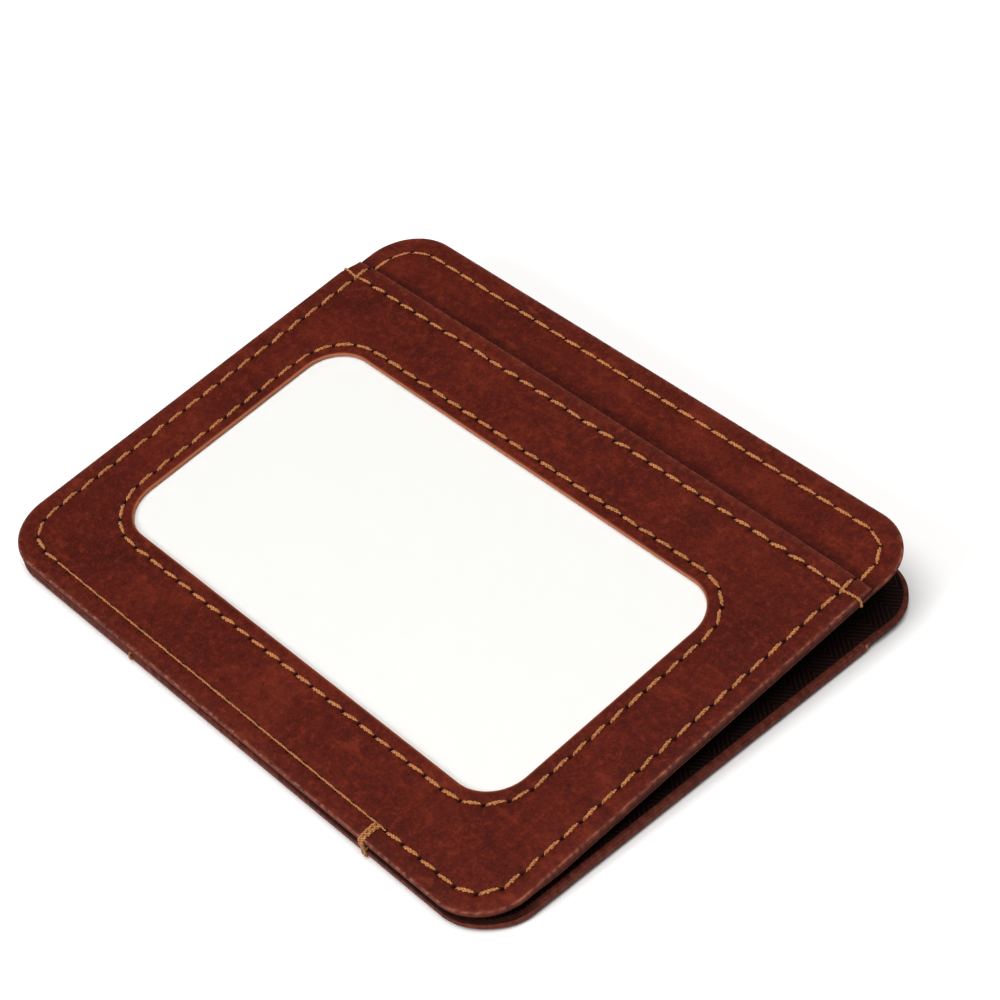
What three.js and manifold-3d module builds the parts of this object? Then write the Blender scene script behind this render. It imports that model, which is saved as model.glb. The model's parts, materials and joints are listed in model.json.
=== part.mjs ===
// Slim two-sided leather wallet with an identity window.
//
// Two flat halves are sewn together along one long edge and open like a book round a bill pocket.
// Each half is a stack: pocket lining, interlining, backing leather, and an outer leather panel that
// stops short of the mouth and forms a card slot. The front half's outer panel has a window with a clear
// film and an insert card behind it.
//
// Millimetres, +Z up. The origin is the middle of the face that the wallet lies on. X runs along the
// sewn edge and Y from the sewn edge to the mouth.

import * as THREE from 'three';
import { mergeVertices } from 'three/addons/utils/BufferGeometryUtils.js';
import Module from 'manifold-3d';

// Overall sizes
const WIDTH = 102; // along the sewn edge
const DEPTH = 77.5; // from the sewn edge to the mouth
const CORNER_RADIUS = 8;
const REST_OPENING_DEG = 5.9; // how far the front half stands open

// Layer thicknesses
const LINING_THICKNESS = 0.15;
const INTERLINING_THICKNESS = 0.1;
const BACKING_THICKNESS = 0.4;
const PANEL_THICKNESS = 0.5;
const FILM_THICKNESS = 0.1;
const CARD_THICKNESS = 0.25;

// Clearances
const LAYER_GAP = 0.04; // between layers that lie on each other
const SEAM_GAP = 0.1; // between the two halves when they are shut
const CARD_PLAY = 0.05; // above and below the insert card
const CARD_SIDE_PLAY = 3.7; // beside the insert card, each side
const CARD_SEAT_PLAY = 0.5; // between the card and the foot of its pocket
const THREAD_END_GAP = 0.3; // between the ends of neighbouring runs of thread

// Card slot and window
const STRIP_HEIGHT = 10.3; // backing left bare above the card slot
const CARD_TOP_DROP = 8.2; // insert card's top edge below the slot's mouth
const CARD_CORNER_RADIUS = 3.2;
const POCKET_RIM = 4.5; // width of the sewn rim that closes the card pocket
const WINDOW_LEFT_MARGIN = 11.4;
const WINDOW_RIGHT_MARGIN = 13.4;
const WINDOW_BOTTOM_MARGIN = 13.4;
const WINDOW_TOP_MARGIN = 13.1; // window to the slot's mouth
const WINDOW_RADIUS = 6;
const FILM_OVERLAP = 3.5; // film beyond the window's edge
const LINING_INSET = 0.6;
const INTERLINING_INSET = 4;

// Stitching
const THREAD_WIDTH = 0.6;
const GROOVE_DEPTH = 0.25;
const STITCH_INSET = 2.85; // edge of the wallet to the middle of the thread
const WINDOW_STITCH_OFFSET = 2; // window's edge to the middle of the thread
const SLOT_STITCH_DROP = 2.5; // slot's mouth to the middle of the thread
const TACK_WIDTH = 1.3; // two strands side by side
const SEAM_START_PAST_CORNER = 2; // the joining seam starts this far beyond the left corner's curve
const SEAM_TACK_FROM_RIGHT = 22; // and ends here
const BACK_TACK_FROM_LEFT = 31;
const TACK_HINGE_GAP = 0.45; // keeps the front strand clear of the back one when open

const ARC_STEPS = 10; // per quarter turn

// Values worked out from the sizes above
const HALF_WIDTH = WIDTH / 2;
const MOUTH_Y = DEPTH - STRIP_HEIGHT;
const STITCH_X = HALF_WIDTH - STITCH_INSET;
const SEAM_TACK_X = HALF_WIDTH - SEAM_TACK_FROM_RIGHT;
const BACK_TACK_X = -HALF_WIDTH + BACK_TACK_FROM_LEFT;
const THREAD_HEIGHT = GROOVE_DEPTH - 2 * LAYER_GAP;
const WINDOW = {
  left: -HALF_WIDTH + WINDOW_LEFT_MARGIN,
  right: HALF_WIDTH - WINDOW_RIGHT_MARGIN,
  bottom: WINDOW_BOTTOM_MARGIN,
  top: MOUTH_Y - WINDOW_TOP_MARGIN,
};

// Heights inside one half, measured outwards from the hinge plane between the halves
const LINING_Z = SEAM_GAP / 2;
const INTERLINING_Z = LINING_Z + LINING_THICKNESS + LAYER_GAP;
const BACKING_Z = INTERLINING_Z + INTERLINING_THICKNESS + LAYER_GAP;
const BACKING_TOP_Z = BACKING_Z + BACKING_THICKNESS;
const CARD_Z = BACKING_TOP_Z + CARD_PLAY;
const FILM_Z = CARD_Z + CARD_THICKNESS + CARD_PLAY;
const WINDOW_PANEL_Z = FILM_Z + FILM_THICKNESS + LAYER_GAP;
const SLOT_PANEL_Z = BACKING_TOP_Z + LAYER_GAP;
const BACK_HALF_HEIGHT = SLOT_PANEL_Z + PANEL_THICKNESS;

const LEATHER = { color: 0x6b2a1c, roughness: 0.55, metalness: 0 };
const LINING = { color: 0x1d1412, roughness: 0.85, metalness: 0 };
const INTERLINING = { color: 0xcfc6b8, roughness: 0.9, metalness: 0 };
const THREAD = { color: 0xc88c46, roughness: 0.6, metalness: 0 };
const FILM = { color: 0xeef2f4, roughness: 0.1, metalness: 0, transparent: true, opacity: 0.4 };
const CARD = { color: 0xf7f9f5, roughness: 0.5, metalness: 0 };

const wasm = await Module();
wasm.setup();

function toSolid(geometry) {
  const bare = geometry.clone();
  bare.deleteAttribute('normal');
  bare.deleteAttribute('uv');
  const merged = mergeVertices(bare);
  const mesh = new wasm.Mesh({
    numProp: 3,
    vertProperties: new Float32Array(merged.attributes.position.array),
    triVerts: new Uint32Array(merged.index.array),
  });
  return new wasm.Manifold(mesh);
}

function toGeometry(solid) {
  const mesh = solid.getMesh();
  const geometry = new THREE.BufferGeometry();
  geometry.setAttribute('position', new THREE.BufferAttribute(mesh.vertProperties, 3));
  geometry.setIndex(new THREE.BufferAttribute(mesh.triVerts, 1));
  geometry.computeVertexNormals();
  return geometry;
}

function arc(centreX, centreY, radius, startDeg, endDeg) {
  const points = [];
  for (let step = 0; step <= ARC_STEPS; step += 1) {
    const angle = THREE.MathUtils.degToRad(startDeg + ((endDeg - startDeg) * step) / ARC_STEPS);
    points.push(new THREE.Vector2(centreX + radius * Math.cos(angle), centreY + radius * Math.sin(angle)));
  }
  return points;
}

// Rectangle whose lower and upper corners can have different radii; a radius of 0 is a square corner.
function roundedRectangle({ left, right, bottom, top }, lowerRadius, upperRadius) {
  const corner = (x, y, inwardX, inwardY, radius, startDeg) => {
    if (radius === 0) {
      return [new THREE.Vector2(x, y)];
    }
    return arc(x + inwardX * radius, y + inwardY * radius, radius, startDeg, startDeg + 90);
  };
  return [
    ...corner(left, bottom, 1, 1, lowerRadius, 180),
    ...corner(right, bottom, -1, 1, lowerRadius, 270),
    ...corner(right, top, -1, -1, upperRadius, 0),
    ...corner(left, top, 1, -1, upperRadius, 90),
  ];
}

function grown({ left, right, bottom, top }, amount) {
  return { left: left - amount, right: right + amount, bottom: bottom - amount, top: top + amount };
}

// Outline of a strip of even width along a line of points.
function strip(path, width) {
  const sides = { left: [], right: [] };
  path.forEach((point, index) => {
    const before = path[Math.max(index - 1, 0)];
    const after = path[Math.min(index + 1, path.length - 1)];
    const along = new THREE.Vector2().subVectors(after, before).normalize();
    const across = new THREE.Vector2(-along.y, along.x).multiplyScalar(width / 2);
    sides.left.push(point.clone().add(across));
    sides.right.push(point.clone().sub(across));
  });
  return [...sides.left, ...sides.right.reverse()];
}

function plate(outline, bottomZ, height, hole = null) {
  const shape = new THREE.Shape(outline);
  if (hole) {
    shape.holes.push(new THREE.Path(hole));
  }
  const geometry = new THREE.ExtrudeGeometry(shape, { depth: height, bevelEnabled: false });
  return geometry.translate(0, 0, bottomZ);
}

function cut(geometry, tools) {
  let solid = toSolid(geometry);
  for (const tool of tools) {
    solid = solid.subtract(toSolid(tool));
  }
  return toGeometry(solid);
}

function join(first, second) {
  return toGeometry(toSolid(first).add(toSolid(second)));
}

function mesh(name, geometry, look) {
  const result = new THREE.Mesh(geometry, new THREE.MeshStandardMaterial(look));
  result.name = name;
  return result;
}

// Lines that the thread follows, as seen from outside the half
const outerBox = { left: -HALF_WIDTH, right: HALF_WIDTH, bottom: 0, top: DEPTH };
const stitchRadius = CORNER_RADIUS - STITCH_INSET;
const cornerX = HALF_WIDTH - CORNER_RADIUS;

const leftLine = (topY, endX) => [
  new THREE.Vector2(-STITCH_X, topY),
  ...arc(-cornerX, CORNER_RADIUS, stitchRadius, 180, 270),
  new THREE.Vector2(endX, STITCH_INSET),
];

const rightLine = (startX, topY) => [
  new THREE.Vector2(startX, STITCH_INSET),
  ...arc(cornerX, CORNER_RADIUS, stitchRadius, 270, 360),
  new THREE.Vector2(STITCH_X, topY),
];

const topLine = (bottomY) => [
  new THREE.Vector2(-STITCH_X, bottomY),
  ...arc(-cornerX, DEPTH - CORNER_RADIUS, stitchRadius, 180, 90),
  ...arc(cornerX, DEPTH - CORNER_RADIUS, stitchRadius, 90, 0),
  new THREE.Vector2(STITCH_X, bottomY),
];

const straightLine = (startX, endX, y) => [new THREE.Vector2(startX, y), new THREE.Vector2(endX, y)];

const slotStitchY = MOUTH_Y - SLOT_STITCH_DROP;
const slotStitchEndX = STITCH_X - THREAD_WIDTH / 2 - THREAD_END_GAP;
const grooveWidth = THREAD_WIDTH + 2 * LAYER_GAP;
const tackReach = STITCH_INSET - THREAD_WIDTH / 2 - THREAD_END_GAP;

function threadRun(name, path, faceZ) {
  const bottomZ = faceZ - GROOVE_DEPTH + LAYER_GAP;
  return mesh(name, plate(strip(path, THREAD_WIDTH), bottomZ, THREAD_HEIGHT), THREAD);
}

function groove(path, faceZ) {
  return plate(strip(path, grooveWidth), faceZ - GROOVE_DEPTH, 2 * GROOVE_DEPTH);
}

// Bar of thread that lies in the face, turns over an edge and runs down it. Its side view is drawn with
// the edge at 0, then stood up so that it points out through the right-hand edge.
function edgeTack(faceZ, footZ) {
  const armBottom = faceZ - GROOVE_DEPTH + LAYER_GAP;
  const armTop = faceZ - LAYER_GAP;
  const inner = LAYER_GAP;
  const outer = LAYER_GAP + THREAD_HEIGHT;
  const sideView = [
    new THREE.Vector2(-tackReach, armBottom),
    new THREE.Vector2(inner, armBottom),
    new THREE.Vector2(inner, footZ),
    new THREE.Vector2(outer, footZ),
    new THREE.Vector2(outer, armTop),
    new THREE.Vector2(-tackReach, armTop),
  ];
  const geometry = new THREE.ExtrudeGeometry(new THREE.Shape(sideView), {
    depth: TACK_WIDTH,
    bevelEnabled: false,
  });
  return geometry.rotateX(Math.PI / 2).translate(0, TACK_WIDTH / 2, 0);
}

function tackGroove(faceZ) {
  const length = tackReach + LAYER_GAP;
  const geometry = new THREE.BoxGeometry(2 * length, TACK_WIDTH + 2 * LAYER_GAP, 2 * GROOVE_DEPTH);
  return geometry.translate(0, 0, faceZ);
}

const atRightEdge = (geometry, y) => geometry.translate(HALF_WIDTH, y, 0);
const atLeftEdge = (geometry, y) => geometry.rotateZ(Math.PI).translate(-HALF_WIDTH, y, 0);
const atSewnEdge = (geometry, x) => geometry.rotateZ(-Math.PI / 2).translate(x, 0, 0);

function insetBox(amount) {
  return grown(outerBox, -amount);
}

// Pieces that both halves have: lining, interlining, backing, and the stitching of the bare strip.
function commonPieces(side) {
  const lining = roundedRectangle(
    insetBox(LINING_INSET),
    CORNER_RADIUS - LINING_INSET,
    CORNER_RADIUS - LINING_INSET,
  );
  const interlining = roundedRectangle(
    insetBox(INTERLINING_INSET),
    CORNER_RADIUS - INTERLINING_INSET,
    CORNER_RADIUS - INTERLINING_INSET,
  );
  const backing = cut(
    plate(roundedRectangle(outerBox, CORNER_RADIUS, CORNER_RADIUS), BACKING_Z, BACKING_THICKNESS),
    [groove(topLine(MOUTH_Y), BACKING_TOP_Z)],
  );
  return [
    mesh(`${side}_lining`, plate(lining, LINING_Z, LINING_THICKNESS), LINING),
    mesh(`${side}_interlining`, plate(interlining, INTERLINING_Z, INTERLINING_THICKNESS), INTERLINING),
    mesh(`${side}_backing_panel`, backing, LEATHER),
    threadRun(`${side}_top_stitching`, topLine(MOUTH_Y + THREAD_END_GAP), BACKING_TOP_Z),
  ];
}

// Thread in the outer panel: two sides, the slot's mouth and a tack over each end of the slot.
function panelThread(side, faceZ, leftEndX, rightStartX) {
  const topY = MOUTH_Y - THREAD_END_GAP;
  return [
    threadRun(`${side}_left_stitching`, leftLine(topY, leftEndX - THREAD_END_GAP), faceZ),
    threadRun(`${side}_right_stitching`, rightLine(rightStartX + THREAD_END_GAP, topY), faceZ),
    threadRun(`${side}_slot_stitching`, straightLine(-slotStitchEndX, slotStitchEndX, slotStitchY), faceZ),
    mesh(`${side}_slot_tack_left`, atLeftEdge(edgeTack(faceZ, BACKING_Z), slotStitchY), THREAD),
    mesh(`${side}_slot_tack_right`, atRightEdge(edgeTack(faceZ, BACKING_Z), slotStitchY), THREAD),
  ];
}

function panelGrooves(faceZ) {
  const wholeEdge = [...leftLine(MOUTH_Y + 1, 0), ...rightLine(0, MOUTH_Y + 1).slice(1)];
  return [
    groove(wholeEdge, faceZ),
    groove(straightLine(-STITCH_X, STITCH_X, slotStitchY), faceZ),
    atLeftEdge(tackGroove(faceZ), slotStitchY),
    atRightEdge(tackGroove(faceZ), slotStitchY),
  ];
}

const panelBox = { ...outerBox, top: MOUTH_Y };
const panelOutline = roundedRectangle(panelBox, CORNER_RADIUS, 0);

function windowPanel() {
  const faceZ = WINDOW_PANEL_Z + PANEL_THICKNESS;
  const windowHole = roundedRectangle(WINDOW, WINDOW_RADIUS, WINDOW_RADIUS);
  const sheet = plate(panelOutline, WINDOW_PANEL_Z, PANEL_THICKNESS, windowHole);
  const pocketBox = { ...grown(panelBox, -POCKET_RIM), top: MOUTH_Y + 1 };
  const pocket = roundedRectangle(pocketBox, CORNER_RADIUS - POCKET_RIM, 0);
  const rimHeight = faceZ - SLOT_PANEL_Z;
  const rim = cut(plate(panelOutline, SLOT_PANEL_Z, rimHeight), [
    plate(pocket, SLOT_PANEL_Z - 1, rimHeight + 2),
  ]);
  return cut(join(sheet, rim), [
    ...panelGrooves(faceZ),
    windowRing(grooveWidth, faceZ - GROOVE_DEPTH, 2 * GROOVE_DEPTH),
    atSewnEdge(tackGroove(faceZ), SEAM_TACK_X),
  ]);
}

function windowRing(width, bottomZ, height) {
  const outer = WINDOW_STITCH_OFFSET + width / 2;
  const inner = WINDOW_STITCH_OFFSET - width / 2;
  return plate(
    roundedRectangle(grown(WINDOW, outer), WINDOW_RADIUS + outer, WINDOW_RADIUS + outer),
    bottomZ,
    height,
    roundedRectangle(grown(WINDOW, inner), WINDOW_RADIUS + inner, WINDOW_RADIUS + inner),
  );
}

function insertCard() {
  const reach = HALF_WIDTH - POCKET_RIM - CARD_SIDE_PLAY;
  const box = {
    left: -reach,
    right: reach,
    bottom: POCKET_RIM + CARD_SEAT_PLAY,
    top: MOUTH_Y - CARD_TOP_DROP,
  };
  const outline = roundedRectangle(box, CARD_CORNER_RADIUS, CARD_CORNER_RADIUS);
  return mesh('insert_card', plate(outline, CARD_Z, CARD_THICKNESS), CARD);
}

// The seam that joins the halves runs from just past the left corner to the seam tack.
const seamStartX = -cornerX + SEAM_START_PAST_CORNER;
const seamLine = straightLine(seamStartX, SEAM_TACK_X - TACK_WIDTH / 2 - THREAD_END_GAP, STITCH_INSET);
const pastTackX = SEAM_TACK_X + TACK_WIDTH / 2;

function frontHalf() {
  const faceZ = WINDOW_PANEL_Z + PANEL_THICKNESS;
  const film = roundedRectangle(grown(WINDOW, FILM_OVERLAP), WINDOW_RADIUS, WINDOW_RADIUS);
  const ring = windowRing(THREAD_WIDTH, faceZ - GROOVE_DEPTH + LAYER_GAP, THREAD_HEIGHT);
  const half = new THREE.Group();
  half.add(
    ...commonPieces('front'),
    ...panelThread('front', faceZ, seamStartX, pastTackX),
    mesh('front_window_panel', windowPanel(), LEATHER),
    mesh('window_film', plate(film, FILM_Z, FILM_THICKNESS), FILM),
    mesh('window_stitching', ring, THREAD),
    threadRun('seam_stitching_front', seamLine, faceZ),
    mesh('seam_tack_front', atSewnEdge(edgeTack(faceZ, TACK_HINGE_GAP), SEAM_TACK_X), THREAD),
    insertCard(),
  );
  half.rotation.x = THREE.MathUtils.degToRad(REST_OPENING_DEG);
  return half;
}

// The back half is turned face down, so its own left is the wallet's right.
function backHalf() {
  const faceZ = BACK_HALF_HEIGHT;
  const panel = cut(plate(panelOutline, SLOT_PANEL_Z, PANEL_THICKNESS), [
    ...panelGrooves(faceZ),
    atSewnEdge(tackGroove(faceZ), -SEAM_TACK_X),
    atSewnEdge(tackGroove(faceZ), -BACK_TACK_X),
  ]);
  const seam = seamLine.map((point) => new THREE.Vector2(-point.x, point.y)).reverse();
  const half = new THREE.Group();
  half.add(
    ...commonPieces('back'),
    ...panelThread('back', faceZ, -pastTackX, -seamStartX),
    mesh('back_slot_panel', panel, LEATHER),
    threadRun('seam_stitching_back', seam, faceZ),
    mesh('seam_tack_back', atSewnEdge(edgeTack(faceZ, LINING_Z), -SEAM_TACK_X), THREAD),
    mesh('back_edge_tack', atSewnEdge(edgeTack(faceZ, LINING_Z), -BACK_TACK_X), THREAD),
  );
  half.rotation.y = Math.PI;
  return half;
}

const group = new THREE.Group();
group.add(frontHalf(), backHalf());
for (const half of group.children) {
  half.position.set(0, -DEPTH / 2, BACK_HALF_HEIGHT);
}

export default group;
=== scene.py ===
"""Slim leather wallet: two stitched halves, a clear window with a card behind it, and a white stage."""

import json
import math
import random

import bmesh
import bpy
import numpy as np
from bpy.props import FloatProperty, FloatVectorProperty, PointerProperty
from mathutils import Matrix, Vector, noise


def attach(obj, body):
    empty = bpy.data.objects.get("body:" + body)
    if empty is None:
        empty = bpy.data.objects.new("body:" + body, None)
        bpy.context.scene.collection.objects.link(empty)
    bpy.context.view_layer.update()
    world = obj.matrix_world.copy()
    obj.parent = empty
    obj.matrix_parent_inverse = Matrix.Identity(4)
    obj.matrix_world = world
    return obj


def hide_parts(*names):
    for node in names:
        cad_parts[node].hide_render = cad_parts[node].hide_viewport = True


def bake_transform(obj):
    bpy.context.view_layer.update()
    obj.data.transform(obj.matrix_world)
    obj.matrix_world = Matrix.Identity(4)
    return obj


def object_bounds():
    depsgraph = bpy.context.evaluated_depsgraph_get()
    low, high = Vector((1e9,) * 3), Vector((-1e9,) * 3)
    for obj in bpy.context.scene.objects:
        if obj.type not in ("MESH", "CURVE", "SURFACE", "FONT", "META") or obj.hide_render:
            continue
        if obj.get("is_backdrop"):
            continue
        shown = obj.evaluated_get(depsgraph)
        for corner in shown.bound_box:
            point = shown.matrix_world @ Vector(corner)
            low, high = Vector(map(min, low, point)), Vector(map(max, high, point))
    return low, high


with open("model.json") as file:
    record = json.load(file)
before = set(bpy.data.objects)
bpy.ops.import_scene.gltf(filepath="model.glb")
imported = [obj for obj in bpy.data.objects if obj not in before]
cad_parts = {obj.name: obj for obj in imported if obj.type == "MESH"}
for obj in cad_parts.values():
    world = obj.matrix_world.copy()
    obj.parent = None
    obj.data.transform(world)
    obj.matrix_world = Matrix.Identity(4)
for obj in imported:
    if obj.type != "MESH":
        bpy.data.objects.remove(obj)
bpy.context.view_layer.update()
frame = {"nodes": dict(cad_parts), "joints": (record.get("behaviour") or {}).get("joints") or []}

bl_info = {
    "name": "Slim Leather Wallet",
    "version": (1, 0, 0),
    "blender": (4, 5, 0),
    "location": "View3D > Sidebar > Wallet",
    "description": "Models the leather, thread, lining and window of a slim wallet on its packed frame",
    "category": "Object",
}

MM = 0.001


def joint(name):
    """The frame's joint of that name."""
    return next(j for j in frame["joints"] if j["name"] == name)


# Each half is modelled lying flat: X along the sewn edge, Y from the sewn edge to the mouth,
# Z outwards from the plane where the halves meet. These two turns put it in its place.
HINGE = Vector(joint("pocket_hinge")["pos_m"])
SLIDE = Vector(joint("card_slide")["axis"])
REST_OPENING = math.atan2(SLIDE.z, SLIDE.y)
PLACE = {
    "front": Matrix.Translation(HINGE) @ Matrix.Rotation(REST_OPENING, 4, "X"),
    "back": Matrix.Translation(HINGE) @ Matrix.Rotation(math.pi, 4, "Y"),
}


def flat_span(side, node):
    """Lowest and highest corner of a CAD node in its half's flat position."""
    flat = PLACE[side].inverted()
    points = np.array([flat @ v.co for v in frame["nodes"][node].data.vertices])
    return Vector(points.min(0)), Vector(points.max(0))


# Sizes that the frame gives.
HALF_LOW, HALF_HIGH = flat_span("front", "front_backing_panel")
PANEL_LOW, PANEL_HIGH = flat_span("front", "front_window_panel")
BACK_PANEL_LOW, BACK_PANEL_HIGH = flat_span("back", "back_slot_panel")
LINING_LOW, LINING_HIGH = flat_span("front", "front_lining")
STIFFENER_LOW, STIFFENER_HIGH = flat_span("front", "front_interlining")
FILM_LOW, FILM_HIGH = flat_span("front", "window_film")
RING_LOW, RING_HIGH = flat_span("front", "window_stitching")
SLOT_LOW, SLOT_HIGH = flat_span("front", "front_slot_stitching")
SEAM_TACK_LOW, SEAM_TACK_HIGH = flat_span("front", "seam_tack_front")
EDGE_TACK_LOW, EDGE_TACK_HIGH = flat_span("back", "back_edge_tack")
SEAM_LOW, SEAM_HIGH = flat_span("front", "seam_stitching_front")

WIDTH = HALF_HIGH.x - HALF_LOW.x
DEPTH = HALF_HIGH.y
MOUTH = PANEL_HIGH.y
SLOT_LINE = (SLOT_LOW.y + SLOT_HIGH.y) / 2
STITCH_INSET = (SEAM_LOW.y + SEAM_HIGH.y) / 2
THREAD_WIDTH = SEAM_HIGH.y - SEAM_LOW.y


LENGTH = {"unit": "LENGTH", "precision": 5}
COLOUR = {"subtype": "COLOR", "size": 3, "min": 0, "max": 1}


class WalletSizes(bpy.types.PropertyGroup):
    """Sizes of the leather and thread work that a user may change."""

    corner_radius: FloatProperty(
        name="Corner radius", description="Radius of the wallet's outer corners",
        default=8 * MM, **LENGTH,
    )
    window_offset: FloatProperty(
        name="Window stitch offset", description="From the window's edge to its ring of stitches",
        default=2 * MM, **LENGTH,
    )
    window_radius: FloatProperty(
        name="Window corner radius", description="Radius of the window's corners",
        default=6 * MM, **LENGTH,
    )
    stitch_pitch: FloatProperty(
        name="Stitch pitch", description="Distance from one needle hole to the next",
        default=3.2 * MM, **LENGTH,
    )
    mesh_step: FloatProperty(
        name="Mesh step", description="Longest edge along an outline",
        default=0.34 * MM, **LENGTH,
    )
    edge_round: FloatProperty(
        name="Edge rounding", description="Radius of the burnished outer edges",
        default=0.2 * MM, **LENGTH,
    )
    groove_depth: FloatProperty(
        name="Groove depth", description="How far the thread pulls the leather down",
        default=0.12 * MM, **LENGTH,
    )
    hole_depth: FloatProperty(
        name="Needle hole depth", description="Depth of the pit at each needle hole",
        default=0.3 * MM, **LENGTH,
    )
    bend_start: FloatProperty(
        name="Bend start", description="Distance from the sewn edge where the front half starts to bend",
        default=1.5 * MM, **LENGTH,
    )
    bend_end: FloatProperty(
        name="Bend end", description="Distance from the sewn edge where the front half is straight again",
        default=4.5 * MM, **LENGTH,
    )


class WalletColours(bpy.types.PropertyGroup):
    """Colours of the finishes."""

    leather: FloatVectorProperty(
        name="Leather", description="Waxed leather, between its patches",
        default=(0.070, 0.0082, 0.0042), **COLOUR,
    )
    leather_dark: FloatVectorProperty(
        name="Dark patches", description="Darker patches and pores of the leather",
        default=(0.030, 0.0037, 0.0023), **COLOUR,
    )
    leather_light: FloatVectorProperty(
        name="Light patches", description="Pulled-up wax, lighter and redder",
        default=(0.138, 0.0190, 0.0080), **COLOUR,
    )
    # Also the colour of the painted highlight along the edges' ridges and on the back's walls.
    burnish_and_highlight: FloatVectorProperty(
        name="Burnished edge", description="Rubbed leather along the edges",
        default=(0.33, 0.115, 0.075), **COLOUR,
    )
    raw_edge: FloatVectorProperty(
        name="Raw edge", description="Cut edge of the leather round the window",
        default=(0.42, 0.125, 0.042), **COLOUR,
    )
    thread: FloatVectorProperty(
        name="Thread", description="Waxed golden thread",
        default=(0.44, 0.182, 0.054), **COLOUR,
    )
    lining: FloatVectorProperty(
        name="Lining", description="Dark ribbed pocket lining",
        default=(0.007, 0.0040, 0.0034), **COLOUR,
    )
    lining_rib: FloatVectorProperty(
        name="Lining rib", description="Raised ribs of the lining's weave",
        default=(0.050, 0.0150, 0.0100), **COLOUR,
    )
    card: FloatVectorProperty(
        name="Insert card", description="Blank white card behind the window",
        default=(0.615, 0.62, 0.61), **COLOUR,
    )


# ---------------------------------------------------------------- modelling by hand

def deselect():
    """Nothing selected and no object active in edit mode."""
    if bpy.context.object and bpy.context.object.mode != "OBJECT":
        bpy.ops.object.mode_set(mode="OBJECT")
    bpy.ops.object.select_all(action="DESELECT")


def choose(*pieces):
    """Selects these pieces only, with the first one active."""
    deselect()
    for piece in pieces:
        piece.select_set(True)
    bpy.context.view_layer.objects.active = pieces[0]


def edit():
    """Edit mode on the active object, with nothing selected."""
    bpy.ops.object.mode_set(mode="EDIT")
    bpy.ops.mesh.select_mode(type="VERT")
    bpy.ops.mesh.select_all(action="DESELECT")


def pick(test):
    """In edit mode, selects the vertices that pass the test and the edges and faces between them."""
    mesh = bpy.context.object.data
    work = bmesh.from_edit_mesh(mesh)
    for vert in work.verts:
        vert.select_set(bool(test(vert)))
    work.select_flush_mode()
    bmesh.update_edit_mesh(mesh)


def pick_edges(test):
    """In edit mode, selects only the edges that pass the test."""
    mesh = bpy.context.object.data
    bpy.ops.mesh.select_all(action="DESELECT")
    bpy.ops.mesh.select_mode(type="EDGE")
    work = bmesh.from_edit_mesh(mesh)
    count = 0
    for edge in work.edges:
        chosen = bool(test(edge))
        edge.select_set(chosen)
        count += chosen
    bmesh.update_edit_mesh(mesh)
    return count


def depth_inside(x, y, low, high, low_radius, high_radius):
    """How far points lie inside a rectangle whose lower and upper corners are rounded; negative outside."""
    radius = np.where(y < (low[1] + high[1]) / 2, low_radius, high_radius)
    across = np.abs(x - (low[0] + high[0]) / 2) - (high[0] - low[0]) / 2 + radius
    along = np.abs(y - (low[1] + high[1]) / 2) - (high[1] - low[1]) / 2 + radius
    outside = np.hypot(np.maximum(across, 0), np.maximum(along, 0))
    return radius - outside - np.minimum(np.maximum(across, along), 0)


def ringed_outline(name, low, high, low_radius, high_radius, rings, step):
    """A flat face with rounded ends, inset ring by ring and cut finely along the rings."""
    deselect()
    middle = Vector(((low[0] + high[0]) / 2, (low[1] + high[1]) / 2, 0))
    bpy.ops.mesh.primitive_plane_add(size=1, location=middle)
    piece = bpy.context.object
    piece.name = name
    piece.scale = (high[0] - low[0], high[1] - low[1], 1)
    bpy.ops.object.transform_apply(location=True, rotation=True, scale=True)
    edit()
    for radius, corner_y in ((low_radius, low[1]), (high_radius, high[1])):
        if radius:
            pick(lambda v: abs(v.co.y - corner_y) < step / 10)
            segments = max(6, round(radius * math.pi / 2 / step))
            bpy.ops.mesh.bevel(offset=radius, segments=segments, affect="VERTICES", clamp_overlap=False)
    bpy.ops.mesh.select_mode(type="FACE")
    bpy.ops.mesh.select_all(action="SELECT")
    reached = 0
    for distance in rings:
        bpy.ops.mesh.inset(thickness=distance - reached, depth=0)
        reached = distance

    def runs_along(edge):
        a, b = (vert.co for vert in edge.verts)
        x, y = np.array([a.x, b.x]), np.array([a.y, b.y])
        depths = depth_inside(x, y, low, high, low_radius, high_radius)
        return edge.calc_length() > 1.42 * step and abs(depths[0] - depths[1]) < step / 50

    while pick_edges(runs_along):
        bpy.ops.mesh.subdivide(number_cuts=1)
    return piece


def drop_inner_face():
    """Removes the face inside the innermost ring, leaving its loop open."""
    pick_faces(lambda face: len(face.verts) > 8)
    bpy.ops.mesh.delete(type="ONLY_FACE")


def pick_faces(test):
    """In edit mode, selects only the faces that pass the test."""
    mesh = bpy.context.object.data
    bpy.ops.mesh.select_mode(type="FACE")
    bpy.ops.mesh.select_all(action="DESELECT")
    work = bmesh.from_edit_mesh(mesh)
    for face in work.faces:
        face.select_set(bool(test(face)))
    bmesh.update_edit_mesh(mesh)


LATTICE_SPACING = 3 * MM


def lattice_inner_face(low, high):
    """Cuts the face inside the innermost ring into a lattice, so that it can follow a gentle curve."""
    spacing = LATTICE_SPACING
    for axis in (0, 1):
        count = math.ceil((high[axis] - low[axis]) / spacing)
        for index in range(1, count):
            place = low[axis] + (high[axis] - low[axis]) * index / count
            pick_faces(lambda face: face.calc_area() > (1.01 * spacing) ** 2)
            point = (place, 0, 0) if axis == 0 else (0, place, 0)
            normal = (1, 0, 0) if axis == 0 else (0, 1, 0)
            bpy.ops.mesh.bisect(plane_co=point, plane_no=normal, threshold=spacing / 1000)


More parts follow.
